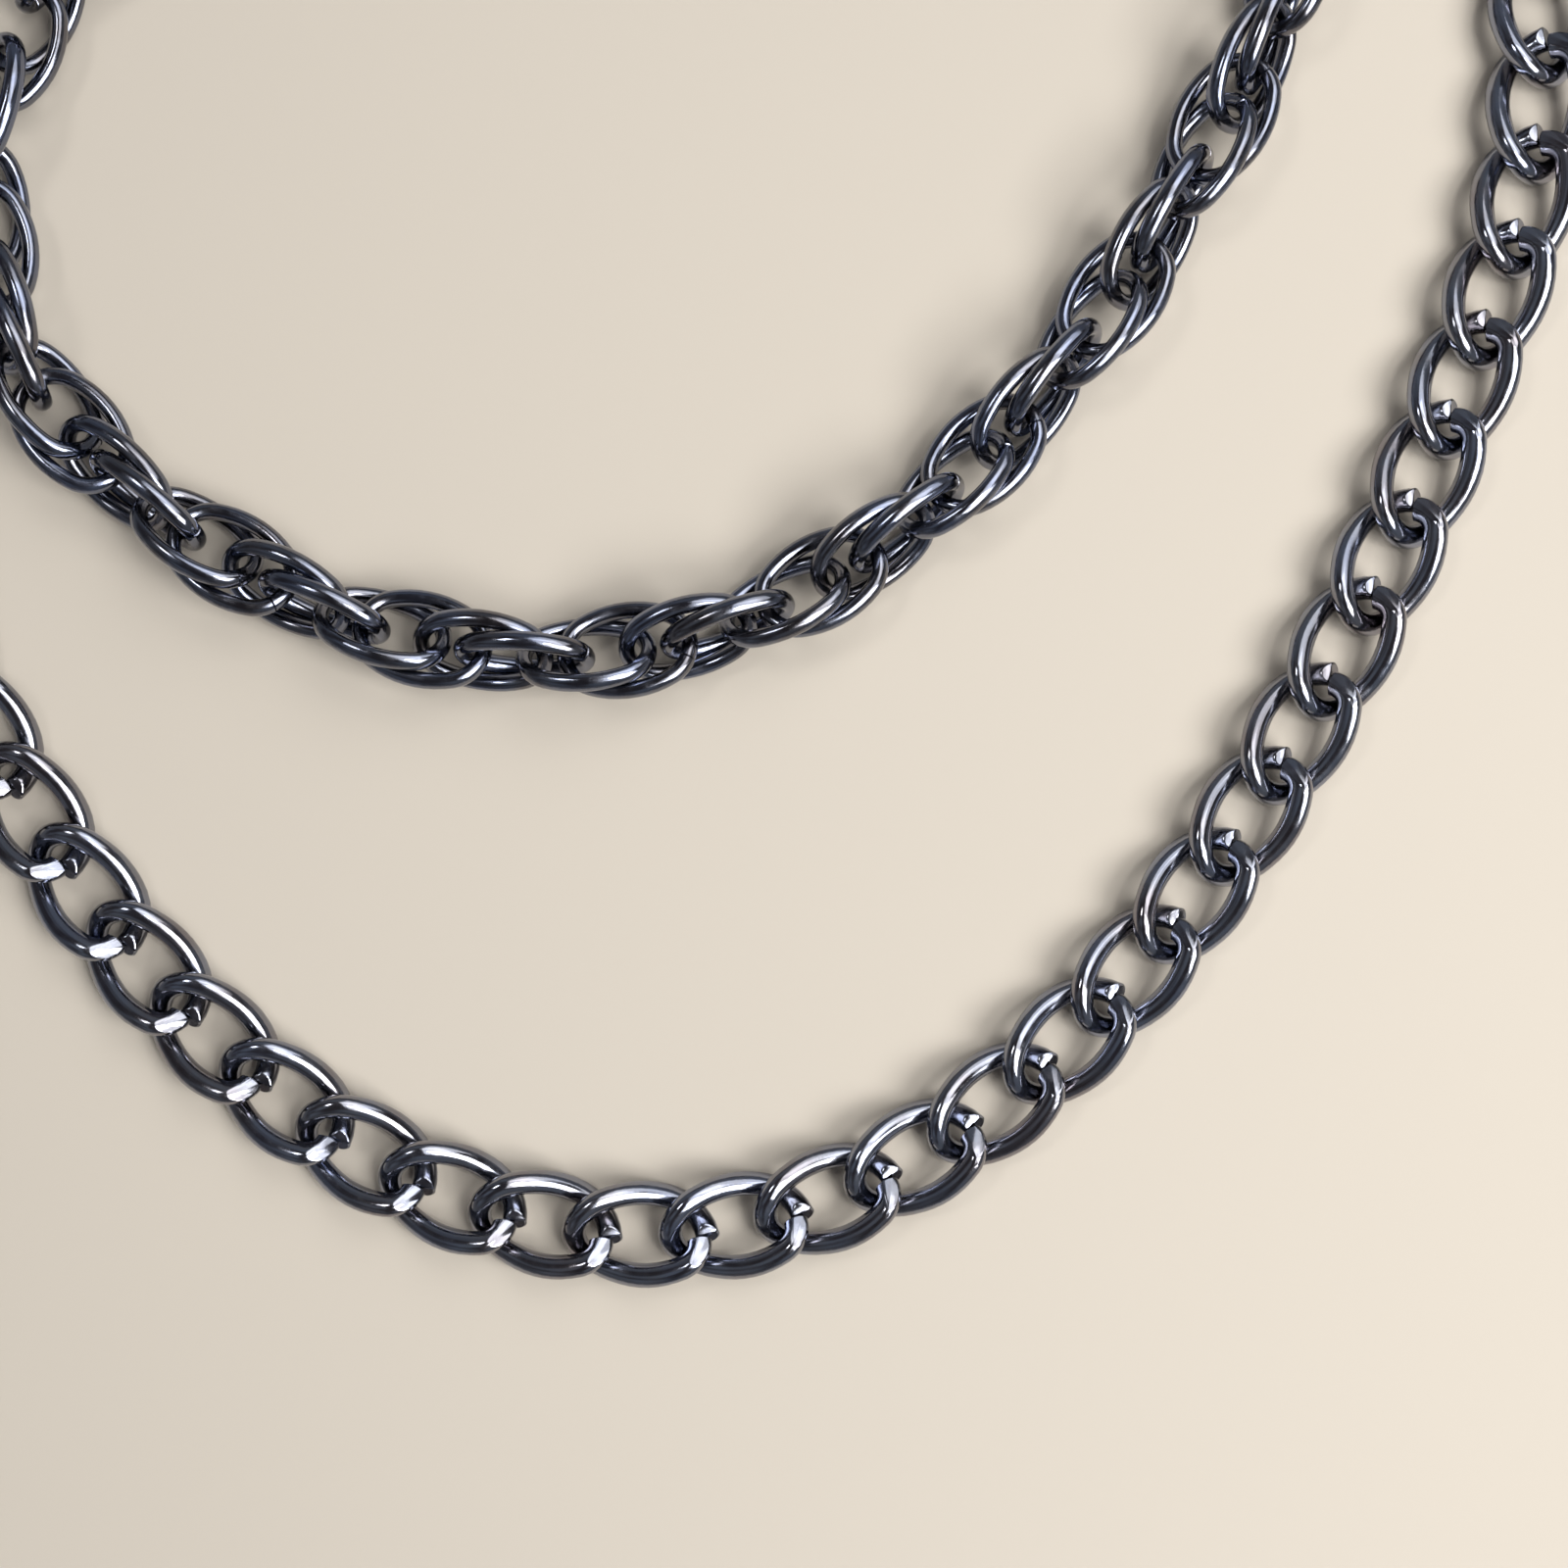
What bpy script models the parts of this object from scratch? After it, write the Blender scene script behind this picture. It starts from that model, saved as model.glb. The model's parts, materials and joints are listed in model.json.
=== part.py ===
"""Two-strand chain necklace, laid flat and unfastened.

The inner strand is a loose rope chain: every link passes through the two links
before it, and the links come in pairs that lie side by side.  The outer strand
is a curb chain: every link is an oval twisted a quarter turn, ground flat on
its two faces.  Both strands start at one join ring, which also carries a
lobster clasp, and each ends in a ring of its own for the clasp to catch.

Metres, +Z up, +X to the right along the front of the necklace.
"""

from collections import namedtuple
from math import asin, asinh, atan, atan2, cos, hypot, pi, radians, sin, sqrt, tan

import bmesh
import bpy
from mathutils import Matrix, Vector

# Play and seats
PLAY = 0.00035               # free gap between pieces that move on each other
BITE = 0.00045               # depth that soldered links sink into each other
REST_GAP = 0.00005           # lowest point of a tilted ring above the table
WELD = 1e-6                  # points closer than this are one point

# Curb chain: outside sizes of one link
CURB_WIRE = 0.0025
CURB_LENGTH = 0.0148
CURB_WIDTH = 0.0113
CURB_TWIST = radians(90)     # turn from one end of a link to the other
CURB_GRIND = 0.00030         # depth ground off the top and the bottom
CURB_TILT = radians(10)      # turn of the six-sided wire section about its centre line
CURB_RUNS = 26
CURB_LINKS_PER_RUN = 2
CURB_STEPS = 8               # straight steps round one link

# Rope chain: outside sizes of one link
ROPE_WIRE = 0.00155
ROPE_LENGTH = 0.0135
ROPE_WIDTH = 0.0097
ROPE_STEP = 0.0042           # from one link of a pair to the other
ROPE_RUNS = 16
ROPE_PAIRS_PER_RUN = 2
ROPE_STEPS = 8               # straight steps round one link
ROPE_FIRST_TURN = radians(52)

# Rings
JOIN_RING_WIRE = 0.0018
JOIN_RING_WIDTH = 0.0138
JUMP_WIRE = 0.0013
END_RING_WIDTH = 0.0076
RING_STEPS = 10
RING_CURL = 0.00030          # extra room for a tight ring on a bend of wire
RING_SLACK = 0.00060         # free room between the two wires that a ring holds

# Lay of the strands on the table.  Each half of a strand leaves its lowest point as a
# catenary, and a round bend then brings it to its end: the left halves to the join ring,
# the right halves to a free end.  The lay is drawn with these values and then scaled to
# the length of the strands.
CURB_DROP = 0.186            # from the join ring down to the lowest point
CURB_LEFT_SAG = 0.052        # size of the catenary
CURB_LEFT_TURN = radians(68.5)    # heading where the catenary ends
CURB_RIGHT_SAG = 0.050
CURB_RIGHT_TURN = radians(70)
CURB_END_DROP = 0.004        # from the join ring down to the free end
CURB_END_ASIDE = 0.0639      # from the join ring across to the free end
CURB_RAMP = 0.080            # stretch that climbs from the table to the join ring
ROPE_DROP = 0.127
ROPE_ASIDE = 0.009           # from the join ring across to the lowest point
ROPE_LEFT_SAG = 0.057
ROPE_LEFT_TURN = radians(41.6)
ROPE_LEFT_BEND = 0.6         # share of the round bend's radius, which leaves a straight after it
ROPE_RIGHT_SAG = 0.049
ROPE_RIGHT_TURN = radians(64)
ROPE_END_DROP = 0.020
ROPE_END_ASIDE = 0.0358
ROPE_RAMP = 0.060

# Lobster clasp, lying flat with its mouth to the right
CLASP_LENGTH = 0.0174
CLASP_WIDTH = 0.0090
CLASP_THICK = 0.0034
CLASP_ROUND = 0.0004         # rounded edge of the cast body
CLASP_EYE = 0.0032           # hole for the clasp's ring
CLASP_EYE_WALL = 0.0012
CLASP_BAND = 0.0018          # width of the hook
CLASP_MOUTH_NECK = 0.0034    # width of the mouth at its narrow end
CLASP_MOUTH_LENGTH = 0.0038  # between the centres of the mouth's two round ends
CLASP_TURN = radians(4)      # the way it points in plan
LEVER_THICK = 0.0015
LEVER_BAND = 0.0016
LEVER_HUB = 0.0022
LEVER_PIVOT_X = 0.0062
LEVER_PIVOT_Y = -0.0015
LEVER_REACH = 0.0087         # pivot to the hook's tip, which clears the lever
LEVER_BEND = (radians(-118), radians(-98), radians(-78))    # bends of the arm round the nose
LEVER_TAB = 0.0018           # thumb tab diameter
LEVER_TAB_PLACE = 0.62       # share of the way from the pivot to the first bend
GATE_LOW = radians(-40)      # directions from the pivot that the open side of the mouth spans
GATE_HIGH = radians(5)
RIVET_WIDTH = 0.0010
RIVET_HEAD = 0.0020
RIVET_HEAD_THICK = 0.00035
SPRING_WIRE = 0.00035

# Roundness
SQUARE, HEXAGON = 0, 1       # wire sections
NOSE_STEPS = 14
MOUTH_STEPS = 10
GATE_STEPS = 8
ROUND_STEPS = 10             # straight steps round an eye, a tab, a hub or a rivet
HOLE_STEPS = 8
SHARP_EDGE = radians(50)     # edges sharper than this stay crisp

for old in list(bpy.data.objects):
    bpy.data.objects.remove(old)


def new_collection(name):
    collection = bpy.data.collections.new(name)
    bpy.context.scene.collection.children.link(collection)
    return collection


PARTS = new_collection("chain_necklace")
CUTTERS = new_collection("cutters")


def metal(name, colour, roughness):
    material = bpy.data.materials.new(name)
    material.use_nodes = True
    shader = material.node_tree.nodes["Principled BSDF"]
    shader.inputs["Base Color"].default_value = (*colour, 1.0)
    shader.inputs["Metallic"].default_value = 1.0
    shader.inputs["Roughness"].default_value = roughness
    return material


ROPE_METAL = metal("rope_gunmetal", (0.23, 0.23, 0.26), 0.18)
CURB_METAL = metal("curb_gunmetal", (0.27, 0.26, 0.29), 0.15)
RING_METAL = metal("ring_gunmetal", (0.25, 0.25, 0.28), 0.18)
CLASP_METAL = metal("clasp_gunmetal", (0.26, 0.26, 0.29), 0.22)
LEVER_METAL = metal("lever_gunmetal", (0.30, 0.30, 0.32), 0.20)
SPRING_METAL = metal("spring_steel", (0.45, 0.45, 0.46), 0.25)


# Mesh helpers

def add_object(name, data, collection, matrix=None):
    item = bpy.data.objects.new(name, data)
    collection.objects.link(item)
    if matrix is not None:
        item.matrix_world = matrix
    bpy.context.view_layer.update()
    return item


def evaluated_mesh(item, name, weld=0.0):
    """A closed mesh of the object as its modifiers and curve settings leave it."""
    bpy.context.view_layer.update()
    graph = bpy.context.evaluated_depsgraph_get()
    mesh = bpy.data.meshes.new_from_object(item.evaluated_get(graph))
    mesh.name = name
    if weld > 0:
        work = bmesh.new()
        work.from_mesh(mesh)
        bmesh.ops.remove_doubles(work, verts=work.verts, dist=weld)
        bmesh.ops.recalc_face_normals(work, faces=work.faces)
        bmesh.ops.triangulate(work, faces=work.faces)
        work.to_mesh(mesh)
        work.free()
    return mesh


def wire_mesh(name, points, wire, section=HEXAGON, closed=True, tilt=0.0):
    """Wire along the points, as a mesh, its section turned by the tilt."""
    curve = bpy.data.curves.new(name, "CURVE")
    curve.dimensions = "3D"
    curve.bevel_depth = wire / 2
    curve.bevel_resolution = section
    curve.use_fill_caps = not closed
    spline = curve.splines.new("POLY")
    spline.points.add(len(points) - 1)
    for slot, point in zip(spline.points, points):
        slot.co = (*point, 1.0)
        slot.tilt = tilt
    spline.use_cyclic_u = closed
    item = add_object(name, curve, CUTTERS)
    mesh = evaluated_mesh(item, name, WELD)
    bpy.data.objects.remove(item)
    return mesh


def plate_mesh(name, outlines, thickness, rounding=0.0):
    """Flat plate of the given outline and holes, centred on z = 0."""
    curve = bpy.data.curves.new(name, "CURVE")
    curve.dimensions = "2D"
    curve.fill_mode = "BOTH"
    curve.extrude = thickness / 2 - rounding
    curve.bevel_depth = rounding
    curve.bevel_resolution = 0
    curve.offset = -rounding
    for outline in outlines:
        spline = curve.splines.new("POLY")
        spline.points.add(len(outline) - 1)
        for slot, (x, y) in zip(spline.points, outline):
            slot.co = (x, y, 0.0, 1.0)
        spline.use_cyclic_u = True
    item = add_object(name, curve, CUTTERS)
    mesh = evaluated_mesh(item, name, WELD)
    bpy.data.objects.remove(item)
    return mesh


def box_mesh(name, low, high):
    mesh = bpy.data.meshes.new(name)
    work = bmesh.new()
    bmesh.ops.create_cube(work, size=1.0)
    size = Vector(high) - Vector(low)
    middle = (Vector(high) + Vector(low)) / 2
    bmesh.ops.transform(work, matrix=Matrix.Translation(middle) @ Matrix.Diagonal((*size, 1.0)),
                        verts=work.verts)
    work.to_mesh(mesh)
    work.free()
    return mesh


def combine(name, mesh, others, operation):
    """The mesh after one Boolean with each of the others."""
    target = add_object(name, mesh, CUTTERS)
    tools = []
    for number, other in enumerate(others):
        tool = add_object(f"{name}_tool_{number}", other, CUTTERS)
        step = target.modifiers.new(f"step_{number}", "BOOLEAN")
        step.operation = operation
        step.object = tool
        step.solver = "EXACT"
        tools.append(tool)
    result = evaluated_mesh(target, name)
    for item in [target, *tools]:
        bpy.data.objects.remove(item)
    return result


def moved(mesh, matrix):
    copy = mesh.copy()
    copy.transform(matrix)
    return copy


ROOT = bpy.data.objects.new("necklace", None)
PARTS.objects.link(ROOT)


def add_part(name, mesh, frame, material):
    """A finished piece: its origin is on its joint, local Y along the hinge."""
    mesh.materials.clear()
    mesh.materials.append(material)
    mesh.shade_smooth()
    mesh.set_sharp_from_angle(angle=SHARP_EDGE)
    item = add_object(name, mesh, PARTS)
    item.parent = ROOT
    item.matrix_parent_inverse = Matrix.Identity(4)
    item.matrix_basis = frame
    return item


# Lay of the strands

Half = namedtuple("Half", "sag turn radius heading length")
Strand = namedtuple("Strand", "left right height lift ramp")


def front_end(sag, turn):
    """Point where the catenary of one half reaches its last heading."""
    return sag * asinh(tan(turn)), sag / cos(turn) - sag


def draw_half(sag, turn, across, up, bend_share=1.0):
    """One half of a strand, from its lowest point to an end that far across and up."""
    x, y = front_end(sag, turn)
    chord = Vector((across - x, up - y))
    side = Vector((-sin(turn), cos(turn)))
    radius = bend_share * chord.length_squared / (2 * chord.dot(side))
    aim = chord - radius * side
    heading = atan2(aim.y, aim.x) + asin(min(1.0, radius / aim.length))
    straight = sqrt(max(0.0, aim.length_squared - radius ** 2))
    length = sag * tan(turn) + radius * (heading - turn) + straight
    return Half(sag, turn, radius, heading, length)


def half_lay(distance, half):
    """Point and heading on one half of a strand, from its lowest point."""
    front = half.sag * tan(half.turn)
    if distance <= front:
        rise = hypot(half.sag, distance) - half.sag
        return half.sag * asinh(distance / half.sag), rise, atan(distance / half.sag)
    x, y = front_end(half.sag, half.turn)
    heading = min(half.turn + (distance - front) / half.radius, half.heading)
    straight = distance - front - half.radius * (heading - half.turn)
    x += half.radius * (sin(heading) - sin(half.turn)) + straight * cos(heading)
    y += half.radius * (cos(half.turn) - cos(heading)) + straight * sin(heading)
    return x, y, heading


def frame_at(strand, distance):
    """Frame on a strand's path: X along the path, Z up, measured from the join ring."""
    start_x, start_y, _ = half_lay(strand.left.length, strand.left)
    reach = distance - strand.left.length
    x, y, heading = half_lay(abs(reach), strand.left if reach < 0 else strand.right)
    if reach < 0:
        x, heading = -x, -heading
    climb = max(0.0, 1 - distance / strand.ramp)
    place = Vector((x + start_x, y - start_y, strand.height + strand.lift * climb ** 2))
    pitch = atan(2 * strand.lift * climb / strand.ramp)
    return Matrix.Translation(place) @ Matrix.Rotation(heading, 4, "Z") @ Matrix.Rotation(pitch, 4, "Y")


# Links

CURB_HALF = (CURB_LENGTH - CURB_WIRE) / 2       # half length of the wire's centre line
CURB_REACH = (CURB_WIDTH - CURB_WIRE) / 2
ROPE_HALF = (ROPE_LENGTH - ROPE_WIRE) / 2
ROPE_REACH = (ROPE_WIDTH - ROPE_WIRE) / 2


def oval(half, reach, steps):
    """Corners of an oval in straight steps, with a straight bar at each end and side."""
    grow = 1 / cos(pi / steps)
    points = []
    for step in range(steps):
        angle = 2 * pi * (step + 0.5) / steps
        points.append((half * grow * cos(angle), reach * grow * sin(angle)))
    return points


def curb_link():
    """Oval link twisted about its length, ground flat above and below."""
    points = []
    for x, across in oval(CURB_HALF, CURB_REACH, CURB_STEPS):
        turn = -CURB_TWIST / 2 * x / CURB_HALF
        points.append((x, across * cos(turn), across * sin(turn)))
    mesh = wire_mesh("curb_link", points, CURB_WIRE, tilt=CURB_TILT)
    top = max(vertex.co.z for vertex in mesh.vertices) - CURB_GRIND
    slab = box_mesh("curb_slab", (-CURB_LENGTH, -CURB_WIDTH, -top), (CURB_LENGTH, CURB_WIDTH, top))
    return combine("curb_link", mesh, [slab], "INTERSECT"), top


def rope_link():
    """Plain flat oval link."""
    points = [(x, y, 0.0) for x, y in oval(ROPE_HALF, ROPE_REACH, ROPE_STEPS)]
    return wire_mesh("rope_link", points, ROPE_WIRE, SQUARE)


# Two links of a pair touch along their straight sides, so the turn between them
# follows from the wire.
PAIR_TURN = 2 * asin((ROPE_WIRE - BITE) / (2 * ROPE_REACH))
QUARTER = radians(90)        # links that hook end to end stand square to each other


def rope_turn(number):
    return ROPE_FIRST_TURN + QUARTER * (number // 2) + PAIR_TURN * (number % 2)


def rope_height(link):
    """Half height of the strand, from the way its links are turned."""
    turns = [Matrix.Rotation(rope_turn(number), 4, "X") for number in range(4)]
    return max((turn @ vertex.co).z for turn in turns for vertex in link.vertices)


CURB_LINK, CURB_HEIGHT = curb_link()
ROPE_LINK = rope_link()
ROPE_HEIGHT = rope_height(ROPE_LINK)

# The clasp's ring stands on the table and holds the join ring and the clasp's eye level.
CLASP_RING_RADIUS = (JOIN_RING_WIRE + JUMP_WIRE + CLASP_EYE_WALL + 3 * PLAY) / 2 + 2 * RING_CURL
JOIN_RING_HEIGHT = CLASP_RING_RADIUS / cos(pi / RING_STEPS) + JUMP_WIRE / 2
JOIN_RADIUS = (JOIN_RING_WIDTH - JOIN_RING_WIRE) / 2


def ring_hold(height, link_wire):
    """From the join ring's wire to a first link's end bar: the level distance and the rise."""
    rise = max(0.0, height - JOIN_RING_HEIGHT)
    hold = (JOIN_RING_WIRE + link_wire) / 2 + RING_SLACK
    return sqrt(hold ** 2 - rise ** 2), rise


def link_places(height, wire, half, runs, steps):
    """Runs of link distances, with the given steps inside a run and the last step between runs."""
    distance = JOIN_RADIUS + ring_hold(height, wire)[0] + half
    places = []
    for _ in range(runs):
        run = [distance]
        for step in steps[:-1]:
            run.append(run[-1] + step)
        places.append(run)
        distance = run[-1] + steps[-1]
    return places


CURB_TAUT = CURB_LENGTH - 2 * CURB_WIRE
ROPE_TAUT = ROPE_LENGTH - 2 * ROPE_WIRE
CURB_PITCHES = [CURB_TAUT + BITE] * (CURB_LINKS_PER_RUN - 1) + [CURB_TAUT - PLAY]
ROPE_PITCHES = [ROPE_STEP, ROPE_TAUT + BITE - ROPE_STEP] * ROPE_PAIRS_PER_RUN
ROPE_PITCHES[-1] = ROPE_TAUT - PLAY - ROPE_STEP

CURB_PLACES = link_places(CURB_HEIGHT, CURB_WIRE, CURB_HALF, CURB_RUNS, CURB_PITCHES)
ROPE_PLACES = link_places(ROPE_HEIGHT, ROPE_WIRE, ROPE_HALF, ROPE_RUNS, ROPE_PITCHES)

CURB_DRAWN = [
    draw_half(CURB_LEFT_SAG, CURB_LEFT_TURN, 0.0, CURB_DROP),
    draw_half(CURB_RIGHT_SAG, CURB_RIGHT_TURN, CURB_END_ASIDE, CURB_DROP - CURB_END_DROP),
]
ROPE_DRAWN = [
    draw_half(ROPE_LEFT_SAG, ROPE_LEFT_TURN, -ROPE_ASIDE, ROPE_DROP, ROPE_LEFT_BEND),
    draw_half(ROPE_RIGHT_SAG, ROPE_RIGHT_TURN, ROPE_END_ASIDE + ROPE_ASIDE, ROPE_DROP - ROPE_END_DROP),
]


def needed_scale(drawn, places, half):
    """Size of the lay at which a strand just reaches the end that was drawn for it."""
    return (places[-1][-1] + half) / (drawn[0].length + drawn[1].length)


# Both strands share one scale, so they keep their distance whichever of them is longer.
LAY_SCALE = max(needed_scale(CURB_DRAWN, CURB_PLACES, CURB_HALF),
                needed_scale(ROPE_DRAWN, ROPE_PLACES, ROPE_HALF))


def laid_strand(drawn, height, ramp):
    halves = []
    for half in drawn:
        halves.append(Half(half.sag * LAY_SCALE, half.turn, half.radius * LAY_SCALE, half.heading,
                           half.length * LAY_SCALE))
    return Strand(*halves, height, max(0.0, JOIN_RING_HEIGHT - height), ramp)


CURB_STRAND = laid_strand(CURB_DRAWN, CURB_HEIGHT, CURB_RAMP)
ROPE_STRAND = laid_strand(ROPE_DRAWN, ROPE_HEIGHT, ROPE_RAMP)


def curb_frame(distance, _number):
    return frame_at(CURB_STRAND, distance)


def rope_frame(distance, number):
    return frame_at(ROPE_STRAND, distance) @ Matrix.Rotation(rope_turn(number), 4, "X")


def chain(prefix, strand, places, link, link_frame, wire, half, overlap_links, material):
    """All runs of one strand, each a solid of soldered links with its hinge at its first hook."""
    number = 0
    flat = [distance for run in places for distance in run]
    for order, run in enumerate(places):
        if order == 0:
            hinge = run[0] - half - (wire + JUMP_WIRE) / 4
        else:
            crossing = flat[number - overlap_links:number + overlap_links]
            hinge = sum(crossing) / len(crossing)
        frame = frame_at(strand, hinge)
        links = []
        for distance in run:
            links.append(moved(link, frame.inverted() @ link_frame(distance, number)))
            number += 1
        name = f"{prefix}_{order + 1:02d}"
        add_part(name, combine(name, links[0], links[1:], "UNION"), frame, material)


chain("curb_run", CURB_STRAND, CURB_PLACES, CURB_LINK, curb_frame, CURB_WIRE, CURB_HALF, 1, CURB_METAL)
chain("rope_run", ROPE_STRAND, ROPE_PLACES, ROPE_LINK, rope_frame, ROPE_WIRE, ROPE_HALF, 2, ROPE_METAL)


# Rings

def ring_mesh(name, radius, wire):
    points = [(x, y, 0.0) for x, y in oval(radius, radius, RING_STEPS)]
    return wire_mesh(name, points, wire)


def ring_frame(centre, along, tilt):
    """Frame of a ring: X along the strand, Y turned by the tilt from level."""
    x_axis = along.normalized()
    level = Vector((0, 0, 1)).cross(x_axis).normalized()
    y_axis = Matrix.Rotation(tilt, 3, x_axis) @ level
    z_axis = x_axis.cross(y_axis)
    turn = Matrix((x_axis, y_axis, z_axis)).transposed().to_4x4()
    return Matrix.Translation(centre) @ turn


def hinge_frame(place, heading_frame):
    """Frame at a hinge, with the heading of the strand there."""
    turn = heading_frame.to_3x3().to_4x4()
    return Matrix.Translation(place) @ turn


def add_ring(name, radius, wire, ring, hinge):
    mesh = moved(ring_mesh(name, radius, wire), hinge.inverted() @ ring)
    return add_part(name, mesh, hinge, RING_METAL)


JOIN_CENTRE = Vector((0, 0, JOIN_RING_HEIGHT))
JOIN_FRAME = Matrix.Translation(JOIN_CENTRE)
add_part("join_ring", ring_mesh("join_ring", JOIN_RADIUS, JOIN_RING_WIRE), JOIN_FRAME, RING_METAL)


def add_start_ring(name, strand, link_wire, tilt):
    """Ring that holds the join ring's wire and the end bar of a strand's first link."""
    heading = Matrix.Rotation(frame_at(strand, 0.0).to_euler("ZYX").z, 3, "Z")
    level, rise = ring_hold(strand.height, link_wire)
    join_wire = JOIN_CENTRE + heading @ Vector((JOIN_RADIUS, 0, 0))
    along = heading @ Vector((level, 0, rise)).normalized()
    near = join_wire - along * ((JOIN_RING_WIRE + JUMP_WIRE) / 2 + PLAY + RING_CURL)
    bar = join_wire + heading @ Vector((level, 0, rise))
    far = bar + along * ((link_wire + JUMP_WIRE) / 2 + PLAY + RING_CURL)
    ring = ring_frame((near + far) / 2, along, tilt)
    seat = join_wire - along * (JOIN_RING_WIRE + PLAY) / 2
    add_ring(name, (far - near).length / 2, JUMP_WIRE, ring, hinge_frame(seat, heading))


add_start_ring("curb_start_ring", CURB_STRAND, CURB_WIRE, CURB_TWIST / 2 + QUARTER)
add_start_ring("rope_start_ring", ROPE_STRAND, ROPE_WIRE, ROPE_FIRST_TURN + QUARTER)

END_RADIUS = (END_RING_WIDTH - JUMP_WIRE) / 2


def add_end_ring(name, link, link_wire, half, bar_turn):
    """Ring on a strand's last link, square to the end it hangs on and clear of the table."""
    level = Matrix.Translation(link.translation) @ Matrix.Rotation(link.to_euler("ZYX").z, 4, "Z")
    bar = level @ Vector((half, 0, 0))
    tilt = bar_turn + QUARTER
    lift = max(0.0, END_RADIUS * abs(sin(tilt)) + JUMP_WIRE / 2 + REST_GAP - bar.z)
    heading = level.to_3x3()
    near = bar - heading @ Vector(((link_wire + JUMP_WIRE) / 2 + PLAY + RING_CURL, 0, 0))
    along = heading @ Vector((sqrt(END_RADIUS ** 2 - lift ** 2), 0, lift))
    ring = ring_frame(near + along, along, tilt)
    seat = bar - heading @ Vector(((link_wire + PLAY) / 2, 0, 0))
    add_ring(name, END_RADIUS, JUMP_WIRE, ring, hinge_frame(seat, heading))


ROPE_COUNT = 2 * ROPE_PAIRS_PER_RUN * ROPE_RUNS
add_end_ring("curb_end_ring", frame_at(CURB_STRAND, CURB_PLACES[-1][-1]), CURB_WIRE, CURB_HALF,
             -CURB_TWIST / 2)
add_end_ring("rope_end_ring", frame_at(ROPE_STRAND, ROPE_PLACES[-1][-1]), ROPE_WIRE, ROPE_HALF,
             rope_turn(ROPE_COUNT - 1))


# Lobster clasp: X from its eye to its nose, the lever on the -Y side

def arc(centre, radius, start, end, steps):
    points = []
    for step in range(steps + 1):
        angle = start + (end - start) * step / steps
        points.append((centre[0] + radius * cos(angle), centre[1] + radius * sin(angle)))
    return points


def circle(centre, width, steps):
    return arc(centre, width / 2, 0, 2 * pi * (steps - 1) / steps, steps - 1)


def egg(small_x, small_radius, large_x, large_radius, steps):
    """Outline round two circles on the X axis."""
    lean = asin((large_radius - small_radius) / (large_x - small_x))
    side = pi / 2 + lean
    nose = arc((large_x, 0), large_radius, -side, side, steps)
    tail = arc((small_x, 0), small_radius, side, 2 * pi - side, steps // 2)
    return nose + tail


NOSE_RADIUS = CLASP_WIDTH / 2
NOSE_X = CLASP_LENGTH - NOSE_RADIUS
TAIL_RADIUS = CLASP_EYE / 2 + CLASP_EYE_WALL
MOUTH_RADIUS = NOSE_RADIUS - CLASP_BAND
MOUTH_NECK_X = NOSE_X - CLASP_MOUTH_LENGTH
PIVOT = (LEVER_PIVOT_X, LEVER_PIVOT_Y)
SLOT_HALF = LEVER_THICK / 2 + PLAY
GATE_X = LEVER_PIVOT_X + LEVER_HUB / 2 + 2 * PLAY
HIGH = CLASP_THICK           # half height of a cutter that goes right through
RIVET_HOLE = RIVET_WIDTH + 2 * PLAY


def clasp_body():
    outlines = [
        egg(TAIL_RADIUS, TAIL_RADIUS, NOSE_X, NOSE_RADIUS, NOSE_STEPS),
        egg(MOUTH_NECK_X, CLASP_MOUTH_NECK / 2, NOSE_X, MOUTH_RADIUS, MOUTH_STEPS),
        circle((TAIL_RADIUS, 0), CLASP_EYE, ROUND_STEPS),
    ]
    body = plate_mesh("clasp_body", outlines, CLASP_THICK, CLASP_ROUND)
    gate = [(GATE_X, LEVER_PIVOT_Y + LEVER_HUB / 4), (GATE_X, -CLASP_WIDTH)]
    gate += arc(PIVOT, LEVER_REACH + PLAY, GATE_LOW, GATE_HIGH, GATE_STEPS)
    gate_cut = plate_mesh("gate_cut", [gate], 2 * HIGH)
    slot_low = (LEVER_PIVOT_X - LEVER_HUB / 2 - PLAY, -CLASP_WIDTH, -SLOT_HALF)
    slot_high = (GATE_X + PLAY, LEVER_PIVOT_Y + LEVER_HUB / 2 + 2 * PLAY + 2 * SPRING_WIRE, SLOT_HALF)
    slot_cut = box_mesh("slot_cut", slot_low, slot_high)
    pin_cut = plate_mesh("pin_cut", [circle(PIVOT, RIVET_HOLE, HOLE_STEPS)], 2 * HIGH)
    return combine("clasp_body", body, [gate_cut, slot_cut, pin_cut], "DIFFERENCE")


def lever_arm():
    """Outline of the lever's arm, from the pivot along the open side of the mouth."""
    middle = NOSE_RADIUS - LEVER_BAND / 2
    line = [Vector(PIVOT)]
    for angle in LEVER_BEND:
        line.append(Vector((NOSE_X + middle * cos(angle), middle * sin(angle))))
    left, right = [], []
    for number, point in enumerate(line):
        ahead = line[min(number + 1, len(line) - 1)] - line[max(number - 1, 0)]
        side = Vector((-ahead.y, ahead.x)).normalized() * LEVER_BAND / 2
        left.append(tuple(point + side))
        right.append(tuple(point - side))
    return right + left[::-1], line


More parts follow.
